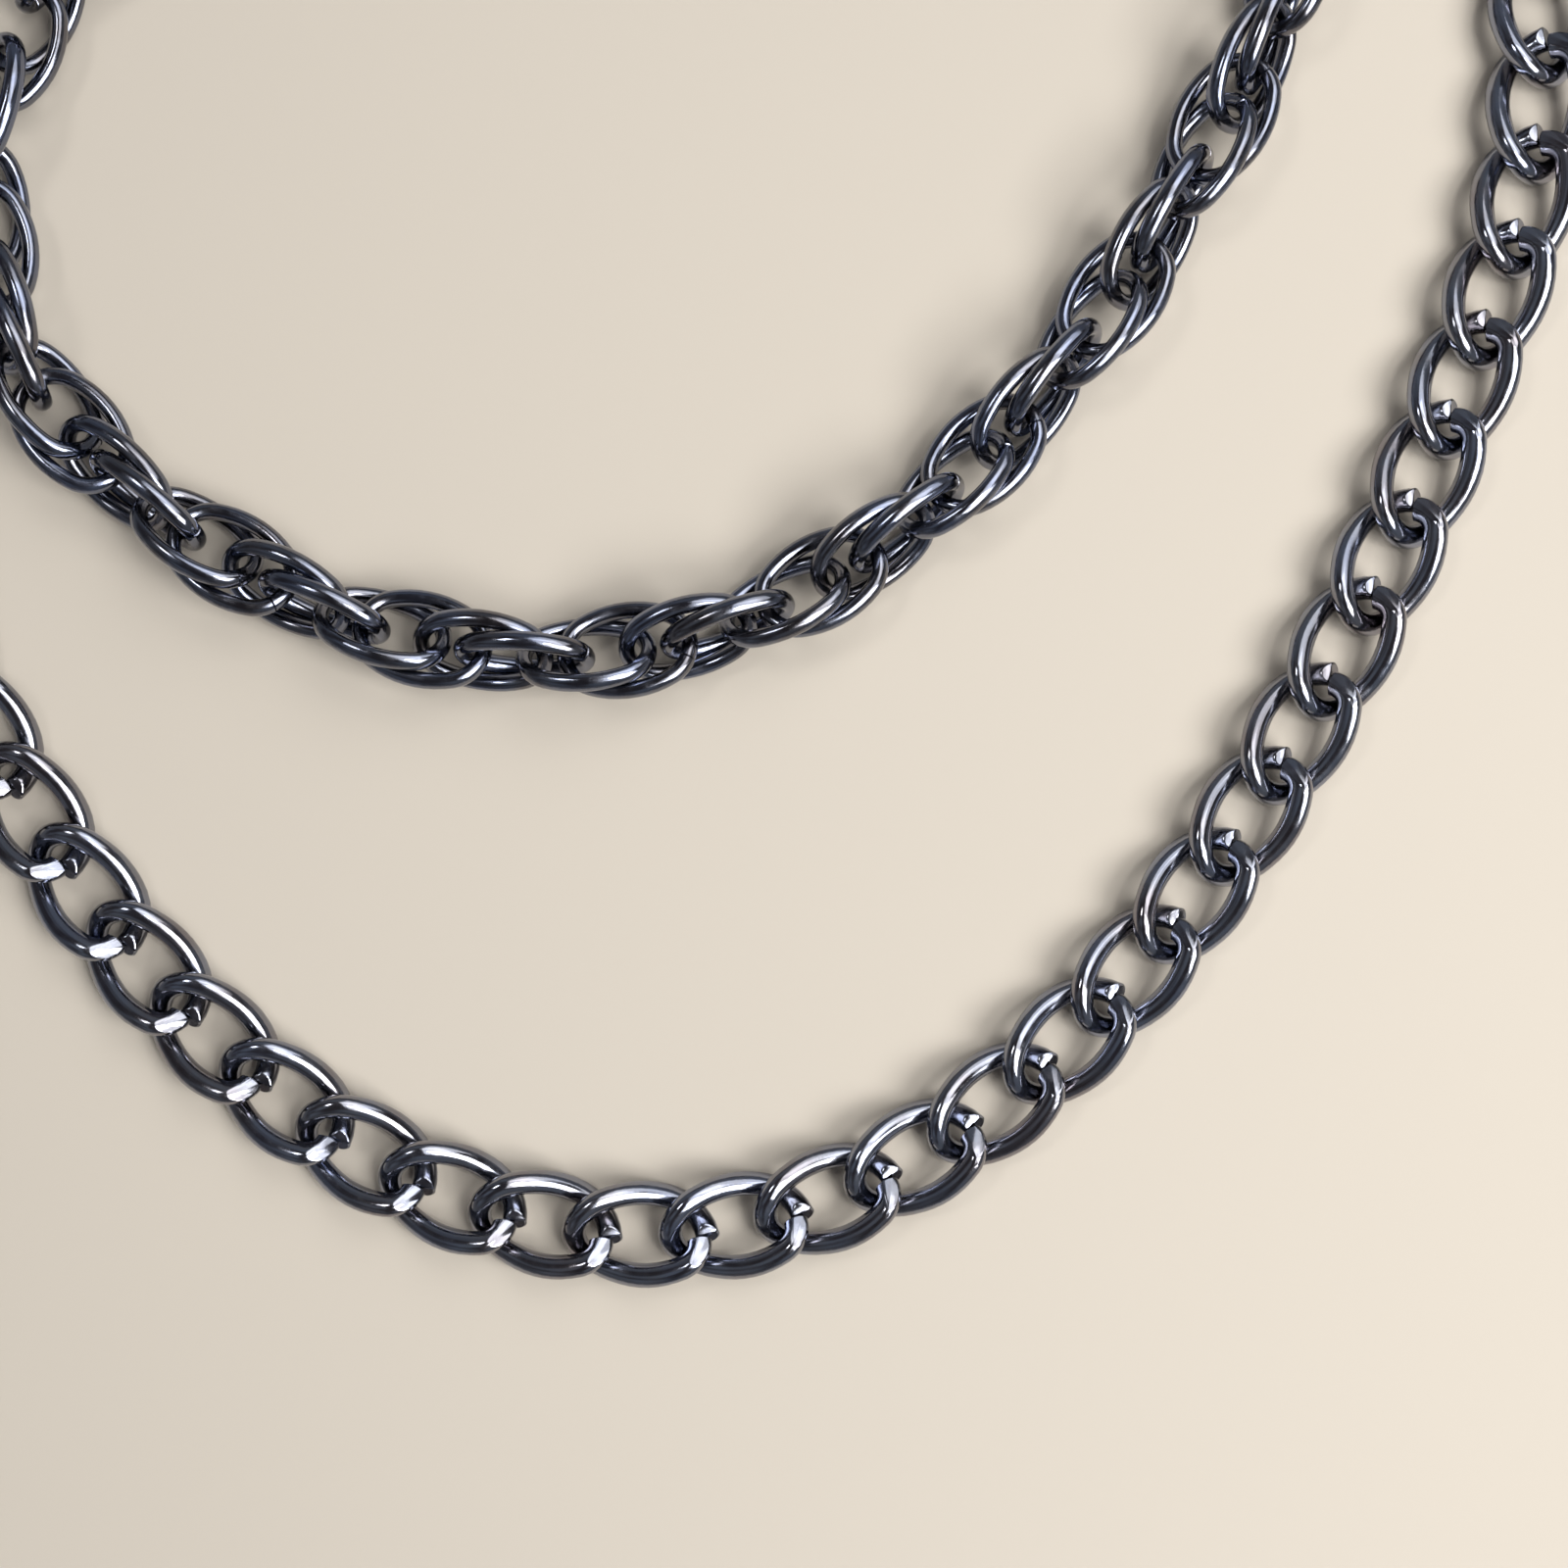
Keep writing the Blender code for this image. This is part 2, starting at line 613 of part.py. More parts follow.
def clasp_lever():
    outline, line = lever_arm()
    arm = plate_mesh("clasp_lever", [outline], LEVER_THICK)
    hub = plate_mesh("lever_hub", [circle(PIVOT, LEVER_HUB, ROUND_STEPS)], LEVER_THICK)
    tab_centre = line[0].lerp(line[1], LEVER_TAB_PLACE) - Vector((0, LEVER_BAND / 2 + LEVER_TAB / 4))
    tab = plate_mesh("lever_tab", [circle(tab_centre, LEVER_TAB, ROUND_STEPS)], LEVER_THICK)
    lever = combine("clasp_lever", arm, [hub, tab], "UNION")
    hole = plate_mesh("lever_hole", [circle(PIVOT, RIVET_HOLE, HOLE_STEPS)], 2 * HIGH)
    return combine("clasp_lever", lever, [hole], "DIFFERENCE")


def clasp_rivet():
    """Turned rivet with a head outside each cheek."""
    seat = CLASP_THICK / 2 + PLAY
    top = seat + RIVET_HEAD_THICK
    profile = [(0, top), (RIVET_HEAD / 2, top), (RIVET_HEAD / 2, seat), (RIVET_WIDTH / 2, seat)]
    profile += [(x, -z) for x, z in reversed(profile)]
    mesh = bpy.data.meshes.new("clasp_rivet")
    work = bmesh.new()
    corners = [work.verts.new((x, 0, z)) for x, z in profile]
    for first, second in zip(corners, corners[1:]):
        work.edges.new((first, second))
    work.to_mesh(mesh)
    work.free()
    item = add_object("clasp_rivet_profile", mesh, CUTTERS)
    turn = item.modifiers.new("turn", "SCREW")
    turn.steps = ROUND_STEPS
    turn.render_steps = ROUND_STEPS
    turn.use_merge_vertices = True
    turn.merge_threshold = WELD
    mesh = evaluated_mesh(item, "clasp_rivet", WELD)
    bpy.data.objects.remove(item)
    return moved(mesh, Matrix.Translation((*PIVOT, 0)))


def clasp_spring():
    """Bent wire between the slot's end and the back of the lever."""
    back = LEVER_PIVOT_Y + LEVER_HUB / 2 + PLAY + SPRING_WIRE / 2
    start = LEVER_PIVOT_X - LEVER_HUB / 2 + SPRING_WIRE / 2
    end = GATE_X - PLAY
    points = [(start, back - SPRING_WIRE, 0), (start + SPRING_WIRE, back + SPRING_WIRE / 2, 0),
              (LEVER_PIVOT_X, back + SPRING_WIRE / 2, 0), (end, back - SPRING_WIRE / 2, 0)]
    return wire_mesh("clasp_spring", points, SPRING_WIRE, SQUARE, closed=False)


# The nose rests on the table, so the clasp slopes down from its ring.
NOSE_REACH = CLASP_LENGTH - TAIL_RADIUS
NOSE_LEAN = atan(CLASP_THICK / 2 / NOSE_REACH)
CLASP_PITCH = asin(JOIN_RING_HEIGHT / hypot(NOSE_REACH, CLASP_THICK / 2)) - NOSE_LEAN
CLASP_HEADING = Matrix.Rotation(CLASP_TURN, 3, "Z")
CLASP_SLOPE = CLASP_HEADING @ Matrix.Rotation(CLASP_PITCH, 3, "Y")
CLASP_RING_BOW = CLASP_RING_RADIUS - sqrt(CLASP_RING_RADIUS ** 2 - (CLASP_THICK / 2) ** 2)

clasp_seat = JOIN_CENTRE + CLASP_HEADING @ Vector((JOIN_RADIUS - (JOIN_RING_WIRE + PLAY) / 2, 0, 0))
clasp_near = clasp_seat - CLASP_HEADING @ Vector(((JUMP_WIRE + PLAY) / 2 + RING_CURL, 0, 0))
clasp_far = clasp_near + CLASP_HEADING @ Vector((2 * CLASP_RING_RADIUS, 0, 0))
clasp_ring = ring_frame((clasp_near + clasp_far) / 2, clasp_far - clasp_near, QUARTER)
add_ring("clasp_ring", CLASP_RING_RADIUS, JUMP_WIRE, clasp_ring, hinge_frame(clasp_seat, CLASP_HEADING))

clasp_tail = clasp_far - CLASP_SLOPE @ Vector((TAIL_RADIUS + CLASP_RING_BOW / 2, 0, 0))
clasp_hinge = clasp_far - CLASP_SLOPE @ Vector(((JUMP_WIRE + PLAY) / 2, 0, 0))
CLASP_FRAME = hinge_frame(clasp_tail, CLASP_SLOPE)
CLASP_HINGE = hinge_frame(clasp_hinge, CLASP_SLOPE)
LEVER_HINGE = CLASP_FRAME @ Matrix.Translation((*PIVOT, 0))


def add_clasp_piece(name, mesh, hinge, material):
    add_part(name, moved(mesh, hinge.inverted() @ CLASP_FRAME), hinge, material)


add_clasp_piece("clasp_body", clasp_body(), CLASP_HINGE, CLASP_METAL)
add_clasp_piece("clasp_lever", clasp_lever(), LEVER_HINGE, LEVER_METAL)
add_clasp_piece("clasp_rivet", clasp_rivet(), LEVER_HINGE, RING_METAL)
add_clasp_piece("clasp_spring", clasp_spring(), LEVER_HINGE, SPRING_METAL)


# Origin under the middle of the whole necklace, on the table

def centre_on_table():
    bpy.context.view_layer.update()
    corners = []
    for item in PARTS.objects:
        if item.type == "MESH":
            corners += [item.matrix_world @ vertex.co for vertex in item.data.vertices]
    low = Vector(min(corner[axis] for corner in corners) for axis in range(3))
    high = Vector(max(corner[axis] for corner in corners) for axis in range(3))
    middle = (low + high) / 2
    ROOT.location = (-middle.x, -middle.y, -low.z)
    bpy.context.view_layer.update()


centre_on_table()
CUTTERS.hide_render = True
print("pieces", len([item for item in PARTS.objects if item.type == "MESH"]))
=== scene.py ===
# %% [markdown]
# A two-strand chain necklace, lying open on a table: a loose rope chain inside a heavy
# curb chain, both in dark polished plate.  The CAD model gives the joints and the lay.
# Here every link, ring and clasp piece is modelled again with round wire, open seams
# and soft edges, and each finished piece rides on the CAD body that it stands for.

import json
from collections import namedtuple
from math import acos, asin, asinh, atan, atan2, cos, hypot, pi, radians, sin, sqrt, tan

import bpy
import numpy as np
from mathutils import Matrix, Vector


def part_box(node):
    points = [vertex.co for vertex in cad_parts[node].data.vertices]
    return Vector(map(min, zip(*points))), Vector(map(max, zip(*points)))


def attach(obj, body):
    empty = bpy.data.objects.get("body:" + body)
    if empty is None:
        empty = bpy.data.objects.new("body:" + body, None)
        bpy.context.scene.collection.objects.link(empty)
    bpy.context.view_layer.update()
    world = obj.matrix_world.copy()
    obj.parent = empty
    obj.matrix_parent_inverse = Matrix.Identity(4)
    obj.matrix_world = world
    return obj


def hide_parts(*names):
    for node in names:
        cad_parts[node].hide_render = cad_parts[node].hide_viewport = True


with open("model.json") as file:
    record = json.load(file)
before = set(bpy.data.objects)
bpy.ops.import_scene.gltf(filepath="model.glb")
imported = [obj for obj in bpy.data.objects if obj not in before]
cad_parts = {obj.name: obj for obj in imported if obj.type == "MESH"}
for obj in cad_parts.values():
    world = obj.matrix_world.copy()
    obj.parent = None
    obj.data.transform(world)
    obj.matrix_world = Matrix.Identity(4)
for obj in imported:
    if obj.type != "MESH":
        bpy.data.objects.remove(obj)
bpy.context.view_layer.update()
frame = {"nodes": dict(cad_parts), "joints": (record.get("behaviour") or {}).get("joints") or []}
nodes = frame["nodes"]

# %% [markdown]
# Three habits keep operators safe in a script.  An operator acts on all that is selected,
# so everything is deselected first.  A modifier is applied as soon as it is set up.  And a
# finished piece says three things at once: which CAD node it stands for, which body it
# moves with, and which finish it takes.

# %% Pick, select and apply
def pick(item):
    """Makes an item the only selected one, and the active one."""
    bpy.ops.object.select_all(action="DESELECT")
    item.select_set(True)
    bpy.context.view_layer.objects.active = item


def apply_modifier(item, modifier):
    """Makes what a modifier does to an item final."""
    pick(item)
    bpy.ops.object.modifier_apply(modifier=modifier.name)


def select_where(item, test):
    """Selects the points of an item that pass a test, and nothing else, in edit mode."""
    pick(item)
    bpy.ops.object.mode_set(mode="EDIT")
    bpy.ops.mesh.select_mode(type="VERT")
    bpy.ops.mesh.select_all(action="DESELECT")
    bpy.ops.object.mode_set(mode="OBJECT")
    for vertex in item.data.vertices:
        vertex.select = test(vertex.co)
    bpy.ops.object.mode_set(mode="EDIT")


# %% Close, cut and shade
MERGE = 1e-6                 # points that are closer than this become one
CUT_LIMIT = 1e-7             # a point that is nearer to a cut than this lies on it


def close_up(item):
    """Merges doubles, turns the faces outwards and leaves edit mode."""
    bpy.ops.mesh.select_all(action="SELECT")
    bpy.ops.mesh.remove_doubles(threshold=MERGE)
    bpy.ops.mesh.normals_make_consistent(inside=False)
    bpy.ops.object.mode_set(mode="OBJECT")
    return item


def cut(point, outward):
    """Cuts what is selected with a plane, removes what is outside and closes the cut."""
    bpy.ops.mesh.bisect(plane_co=point, plane_no=outward, threshold=CUT_LIMIT,
                        use_fill=True, clear_outer=True)


def slice_off(item, point, outward):
    """Cuts a whole item with a plane."""
    select_where(item, lambda corner: True)
    cut(point, outward)
    close_up(item)


def smooth(item, angle):
    """Shades an item as round, apart from edges that are sharper than the angle."""
    pick(item)
    bpy.ops.object.shade_smooth_by_angle(angle=angle)


# %% Tie a piece to its body
FINISH = "_finish"           # a metal is named for the record's slot, with this ending


def stand_for(piece, node, body, metal):
    """Gives a finished piece its metal, hides the CAD node that it stands for and ties the piece to
    its body.
    """
    piece.data.materials.clear()
    piece.data.materials.append(metal)
    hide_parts(node)
    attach(piece, body)


# %% [markdown]
# The links.  A chain link is a piece of wire, wound round a rod and cut off, so it stays
# open at a seam where its two cut ends meet.  The seam of a curb link shows: one end comes
# up in a tighter corner, and the other has sprung out a little.  A curve with a round bevel
# would be quick, but its ends would be flat discs.  Here one round section is spun through
# the arcs of the link in turn, and both ends get the small broken edge of a cut.

# %% Wound wire
Arc = namedtuple("Arc", "centre radius start end steps")
END_SIZE = 0.84              # width of a cut face, as a share of the wire
END_EDGE = 0.06              # length of its broken edge, as a share of the wire


def on_arc(arc, angle):
    """Point of an arc at an angle."""
    return Vector(arc.centre) + arc.radius * Vector((cos(angle), sin(angle), 0))


def cut_end(point, along, size):
    """Draws the selected end of a wire on by a step and changes its width."""
    bpy.ops.mesh.extrude_region_move(TRANSFORM_OT_translate={"value": tuple(along)})
    bpy.ops.transform.resize(value=(size, size, size), center_override=tuple(point + along))


def lead_round(arc):
    """Spins the selected section along an arc."""
    # With no window, a spin about +Z turns clockwise, so the axis points down.
    bpy.ops.mesh.spin(steps=arc.steps, angle=arc.end - arc.start, center=arc.centre,
                      axis=(0, 0, -1))


def wound_wire(name, wire, sides, arcs):
    """Round wire in the XY plane, led through arcs that follow on from each other."""
    first, last = arcs[0], arcs[-1]
    step = wire * END_EDGE
    start = on_arc(first, first.start)
    ahead = Vector((-sin(first.start), cos(first.start), 0)) * step
    bpy.ops.object.select_all(action="DESELECT")
    bpy.ops.mesh.primitive_circle_add(vertices=sides, radius=wire / 2, fill_type="NGON",
                                      location=start - ahead, rotation=(pi / 2, 0, first.start))
    bpy.ops.object.transform_apply(location=True, rotation=True, scale=True)
    item = bpy.context.object
    item.name = name
    bpy.ops.object.mode_set(mode="EDIT")
    bpy.ops.mesh.select_all(action="SELECT")
    bpy.ops.transform.resize(value=(END_SIZE,) * 3, center_override=tuple(start - ahead))
    cut_end(start - ahead, ahead, 1 / END_SIZE)
    for arc in arcs:
        lead_round(arc)
    end = on_arc(last, last.end)
    cut_end(end, Vector((-sin(last.end), cos(last.end), 0)) * step, END_SIZE)
    return close_up(item)


# %% Oval links
SPRUNG_STEPS, SIDE_STEPS, END_STEPS, CORNER_STEPS, RISE_STEPS = 6, 9, 14, 9, 4


def oval_link(name, length, width, wire, end_radius, sides, seam, spring, corner, rise):
    """Oval of arcs, tight at its ends and wide along its sides, and open at its right end.

    The seam is two angles, where the lower cut end stops and where the upper one starts, and
    the upper end springs out from the oval on an arc that is wider by the given length.  The
    lower end turns up in a corner of its own radius and then rises on a wider arc to the seam.
    """
    reach = (width - wire) / 2
    run = (length - wire) / 2 - end_radius
    side_radius = (run ** 2 + reach ** 2 - end_radius ** 2) / (2 * (reach - end_radius))
    meet = atan2(side_radius - reach, run)
    turn = acos((run + end_radius - corner) / (side_radius - corner))
    left = (-run, 0, 0)
    below, above = (0, reach - side_radius, 0), (0, side_radius - reach, 0)
    sprung = (run - spring * cos(meet), -spring * sin(meet), 0)
    corner_at = Vector(above) + (side_radius - corner) * Vector((cos(turn), -sin(turn), 0))
    rise_at = corner_at + (corner - rise) * Vector((1, 0, 0))
    return wound_wire(name, wire, sides, [
        Arc(sprung, end_radius + spring, seam[1], meet, SPRUNG_STEPS),
        Arc(below, side_radius, meet, pi - meet, SIDE_STEPS),
        Arc(left, end_radius, pi - meet, pi + meet, END_STEPS),
        Arc(above, side_radius, pi + meet, 2 * pi - turn, SIDE_STEPS),
        Arc(tuple(corner_at), corner, -turn, 0, CORNER_STEPS),
        Arc(tuple(rise_at), rise, 0, seam[0], RISE_STEPS),
    ])


# %% The two links
CURB_LENGTH, CURB_WIDTH, CURB_WIRE = 0.0154, 0.0109, 0.0025
CURB_END, CURB_SPRING, CURB_CORNER, CURB_RISE = 0.0039, 0.0012, 0.0024, 0.008
CURB_SEAM = radians(3), radians(13)
CURB_SIDES, ROPE_SIDES = 24, 16
curb_link = oval_link("curb_link", CURB_LENGTH, CURB_WIDTH, CURB_WIRE, CURB_END, CURB_SIDES,
                      CURB_SEAM, CURB_SPRING, CURB_CORNER, CURB_RISE)

ROPE_LENGTH, ROPE_WIDTH, ROPE_WIRE = 0.0144, 0.0102, 0.0017
ROPE_BREADTH = 0.0020        # the rope's wire is rolled flat, and stands on edge in the link
ROPE_END = 0.0037
ROPE_SEAM = radians(27), radians(30)
rope_link = oval_link("rope_link", ROPE_LENGTH, ROPE_WIDTH, ROPE_WIRE, ROPE_END, ROPE_SIDES,
                      ROPE_SEAM, spring=0.0, corner=ROPE_END, rise=ROPE_END)
select_where(rope_link, lambda point: True)
bpy.ops.transform.resize(value=(1, 1, ROPE_BREADTH / ROPE_WIRE), center_override=(0, 0, 0))
close_up(rope_link)
print("faces", len(curb_link.data.polygons), len(rope_link.data.polygons))

# %% [markdown]
# A curb link is twisted by most of a quarter turn, so that the links lie flat on each
# other, and its highest places are ground before plating.  The tool that closes a link also
# presses a small flat on each of its two ends.  The twist is a deform along the link's
# length.  It would warp a flat, so the marks come after it: each end is kept as a group of
# points, found again once it is twisted, and cut with a plane.  Two level cuts then make
# the ground faces.

# %% Twist, grind and marks
CURB_TWIST = radians(74)
CURB_GRIND = 0.00005         # what is ground off at the top and at the bottom
CURB_CREASE, WIRE_CREASE = radians(20), radians(30)

SEAM_X, SEAM_Y = 0.002, -0.0005     # the cut ends lie right of X, one below Y and one above
BURR = 0.00007               # width of the worn rim round a mark
# Each mark: centre of the wire there, the way that the flat faces, and its depth.
TOOL_MARKS = {"lower_end": ((0.0066, -0.0009, 0.00065), (0.20, 0.44, 0.87), 0.00024),
              "upper_end": ((0.0072, 0.0003, -0.00025), (0.10, 0.03, 0.99), 0.00035)}


def keep_group(item, name, test):
    """Keeps the points that pass a test as a group, to be found again after a deform."""
    select_where(item, test)
    item.vertex_groups.new(name=name)
    bpy.ops.object.vertex_group_assign()
    bpy.ops.object.mode_set(mode="OBJECT")


def mark(item, group, centre, outward, depth):
    """Flat on the points of a group, pressed in by that depth."""
    touch = centre + outward * (CURB_WIRE / 2 - depth)
    select_where(item, lambda point: False)
    item.vertex_groups.active_index = item.vertex_groups[group].index
    bpy.ops.object.vertex_group_select()
    cut(touch, outward)
    bpy.ops.mesh.bevel(offset=BURR, segments=1, affect="EDGES")
    close_up(item)


# %% A twisted curb link
keep_group(curb_link, "lower_end", lambda point: point.x > SEAM_X and point.y < SEAM_Y)
keep_group(curb_link, "upper_end", lambda point: point.x > SEAM_X and point.y > SEAM_Y)
twist = curb_link.modifiers.new("twist", "SIMPLE_DEFORM")
twist.deform_method = "TWIST"
twist.deform_axis = "X"
twist.angle = -CURB_TWIST * CURB_LENGTH / (CURB_LENGTH - CURB_WIRE)
apply_modifier(curb_link, twist)
for group, (centre, outward, depth) in TOOL_MARKS.items():
    mark(curb_link, group, Vector(centre), Vector(outward).normalized(), depth)
curb_top = max(vertex.co.z for vertex in curb_link.data.vertices) - CURB_GRIND
for side in (1, -1):
    slice_off(curb_link, (0, 0, side * curb_top), (0, 0, side))
smooth(curb_link, CURB_CREASE)
smooth(rope_link, WIRE_CREASE)
print("half height of a curb link", curb_top)

# %% [markdown]
# The finish.  Dark plate over polished metal is a mirror in a deep grey, with a blue or
# brown cast where the plate is thinner, and it is dulled by fine scratches and by touch.
# Noise on Object coordinates drives all three: a wide noise tints the plate, a middle one
# makes it clearer or duller, and a fine one gives the scratches.

# %% Plated metal
TINT_STOPS = 0.34, 0.5, 0.66
GLOSS_LOW, GLOSS_HIGH = 0.35, 0.65
GLOSS_SIZE, SCRATCH_SIZE, SCRATCH_DEPTH = 0.0016, 0.0003, 0.00002
TINT_DETAIL, GLOSS_DETAIL, SCRATCH_DETAIL = 3.0, 4.0, 6.0


def plated(slot, tints, roughness, patch, scratch):
    """Metal whose colour runs through the tints and whose gloss varies between two values."""
    metal = bpy.data.materials.new(slot + FINISH)
    metal.use_nodes = True
    tree, links = metal.node_tree.nodes, metal.node_tree.links
    shader = tree["Principled BSDF"]
    shader.inputs["Metallic"].default_value = 1.0
    place = tree.new("ShaderNodeTexCoord").outputs["Object"]

    def noise(size, detail):
        """Noise whose patches are about that size."""
        node = tree.new("ShaderNodeTexNoise")
        node.inputs["Scale"].default_value = 1 / size
        node.inputs["Detail"].default_value = detail
        links.new(place, node.inputs["Vector"])
        return node.outputs["Fac"]

    ramp = tree.new("ShaderNodeValToRGB")
    ramp.color_ramp.elements.new(TINT_STOPS[1])
    for stop, position, tint in zip(ramp.color_ramp.elements, TINT_STOPS, tints):
        stop.position = position
        stop.color = (*tint, 1.0)
    links.new(noise(patch, TINT_DETAIL), ramp.inputs["Fac"])
    links.new(ramp.outputs["Color"], shader.inputs["Base Color"])

    gloss = tree.new("ShaderNodeMapRange")
    gloss.inputs["From Min"].default_value = GLOSS_LOW
    gloss.inputs["From Max"].default_value = GLOSS_HIGH
    gloss.inputs["To Min"].default_value = roughness[0]
    gloss.inputs["To Max"].default_value = roughness[1]
    links.new(noise(GLOSS_SIZE, GLOSS_DETAIL), gloss.inputs["Value"])
    links.new(gloss.outputs["Result"], shader.inputs["Roughness"])

    bump = tree.new("ShaderNodeBump")
    bump.inputs["Strength"].default_value = scratch
    bump.inputs["Distance"].default_value = SCRATCH_DEPTH
    links.new(noise(SCRATCH_SIZE, SCRATCH_DETAIL), bump.inputs["Height"])
    links.new(bump.outputs["Normal"], shader.inputs["Normal"])
    return metal


# %% Metals
BROWN, GREY, BLUE = (0.24, 0.225, 0.245), (0.25, 0.258, 0.295), (0.25, 0.268, 0.335)
PLATE = BROWN, GREY, BLUE
DARK_PLATE = (0.16, 0.155, 0.17), (0.18, 0.19, 0.23), (0.18, 0.20, 0.27)
LEVER_PLATE = GREY, GREY, BLUE
STEEL = (0.38, 0.36, 0.34), (0.45, 0.45, 0.46), (0.50, 0.50, 0.52)
CURB_METAL = plated("curb_gunmetal", PLATE, roughness=(0.09, 0.20), patch=0.006, scratch=0.2)
ROPE_METAL = plated("rope_gunmetal", DARK_PLATE, roughness=(0.09, 0.22), patch=0.005, scratch=0.2)
RING_METAL = plated("ring_gunmetal", PLATE, roughness=(0.15, 0.30), patch=0.004, scratch=0.25)
CLASP_METAL = plated("clasp_gunmetal", PLATE, roughness=(0.20, 0.36), patch=0.004, scratch=0.35)
LEVER_METAL = plated("lever_gunmetal", LEVER_PLATE, roughness=(0.18, 0.32), patch=0.003, scratch=0.4)
SPRING_METAL = plated("spring_steel", STEEL, roughness=(0.2, 0.35), patch=0.002, scratch=0.4)
print("metals", [metal.name for metal in bpy.data.materials])

# %% [markdown]
# The lay on the table.  A chain that is let down on a table keeps the curve that it hung
# in, so each half of a strand starts as a catenary at the lowest point of the front.  A
# round bend then brings the left half to the join ring and the right half to a free end.
# The path has a formula, so any link finds its place from its distance along the strand.

# %% Halves of a strand
Half = namedtuple("Half", "sag turn radius heading length")
Strand = namedtuple("Strand", "left right height lift ramp")
LAY_SCALE = 0.999747         # the lay is scaled by this, so that whole links fill it
JOIN = sum((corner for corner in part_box("join_ring")), Vector()) / 2


def front_end(sag, turn):
    """Point where the catenary has turned by that much, from its lowest point."""
    return sag * asinh(tan(turn)), sag / cos(turn) - sag


def draw_half(sag, turn, across, up, bend_share=1.0):
    """One half of a strand: a catenary, then a bend to the end that far across and up."""
    x, y = front_end(sag, turn)
    chord = Vector((across - x, up - y))
    side = Vector((-sin(turn), cos(turn)))
    radius = bend_share * chord.length_squared / (2 * chord.dot(side))
    aim = chord - radius * side
    heading = atan2(aim.y, aim.x) + asin(min(1.0, radius / aim.length))
    straight = sqrt(max(0.0, aim.length_squared - radius ** 2))
    length = sag * tan(turn) + radius * (heading - turn) + straight
    return Half(sag * LAY_SCALE, turn, radius * LAY_SCALE, heading, length * LAY_SCALE)


# %% Places on a strand
def half_lay(distance, half):
    """Point and heading on one half of a strand, from its lowest point."""
    front = half.sag * tan(half.turn)
    if distance <= front:
        rise = hypot(half.sag, distance) - half.sag
        return half.sag * asinh(distance / half.sag), rise, atan(distance / half.sag)
    x, y = front_end(half.sag, half.turn)
    heading = min(half.turn + (distance - front) / half.radius, half.heading)
    straight = distance - front - half.radius * (heading - half.turn)
    x += half.radius * (sin(heading) - sin(half.turn)) + straight * cos(heading)
    y += half.radius * (cos(half.turn) - cos(heading)) + straight * sin(heading)
    return x, y, heading


def frame_at(strand, distance):
    """Frame on a strand: X along it, Z up, at a distance from the join ring's centre."""
    start_x, start_y, _ = half_lay(strand.left.length, strand.left)
    reach = distance - strand.left.length
    x, y, heading = half_lay(abs(reach), strand.left if reach < 0 else strand.right)
    if reach < 0:
        x, heading = -x, -heading
    climb = max(0.0, 1 - distance / strand.ramp)
    height = strand.height + strand.lift * climb ** 2
    place = Vector((JOIN.x + x + start_x, JOIN.y + y - start_y, height))
    pitch = Matrix.Rotation(atan(2 * strand.lift * climb / strand.ramp), 4, "Y")
    return Matrix.Translation(place) @ Matrix.Rotation(heading, 4, "Z") @ pitch


# %% The two strands
CURB_RAMP, ROPE_RAMP = 0.080, 0.060     # the length in which a strand comes down from the ring
curb_strand = Strand(left=draw_half(sag=0.052, turn=radians(68.5), across=0.0, up=0.186),
                     right=draw_half(sag=0.050, turn=radians(70), across=0.0639, up=0.182),
                     height=curb_top, lift=JOIN.z - curb_top, ramp=CURB_RAMP)

ROPE_HEIGHT, ROPE_LIFT = 0.00497, 0.0
rope_strand = Strand(left=draw_half(sag=0.057, turn=radians(41.6), across=-0.009, up=0.127,
                                    bend_share=0.6),
                     right=draw_half(sag=0.049, turn=radians(64), across=0.0448, up=0.107),
                     height=ROPE_HEIGHT, lift=ROPE_LIFT, ramp=ROPE_RAMP)
print("left lengths", curb_strand.left.length, rope_strand.left.length)

# %% [markdown]
# The two chains.  In a curb chain each link hooks the next.  In this rope chain the links
# come in pairs that lie side by side and are rolled a little apart, and each pair passes
# through the pair before it, a quarter turn on.  The CAD model moves a short run of links
# as one body, so the links of a run are joined into one piece.

# %% Runs of links
def lay_run(node, link, places, metal):
    """Lays copies of a link at the places and joins them into the piece for a CAD run."""
    copies = []
    for place in places:
        copy = link.copy()
        copy.data = link.data.copy()
        copy.data.transform(place)
        bpy.context.scene.collection.objects.link(copy)
        copies.append(copy)
    pick(copies[0])
    for copy in copies:
        copy.select_set(True)
    bpy.ops.object.join()
    copies[0].name = f"{node}_links"
    stand_for(copies[0], node, node, metal)


# %% Curb chain
# Along the strand: where the first run starts, the length of a run, and the links in it.
CURB_START, CURB_RUN, CURB_OFFSETS = 0.0149, 0.0197, (0.0002, 0.01005)
CURB_RUNS = 26
for run in range(CURB_RUNS):
    distances = [CURB_START + run * CURB_RUN + offset for offset in CURB_OFFSETS]
    places = [frame_at(curb_strand, distance) for distance in distances]
    lay_run(f"curb_run_{run + 1:02d}", curb_link, places, CURB_METAL)
print("curb runs", CURB_RUNS)

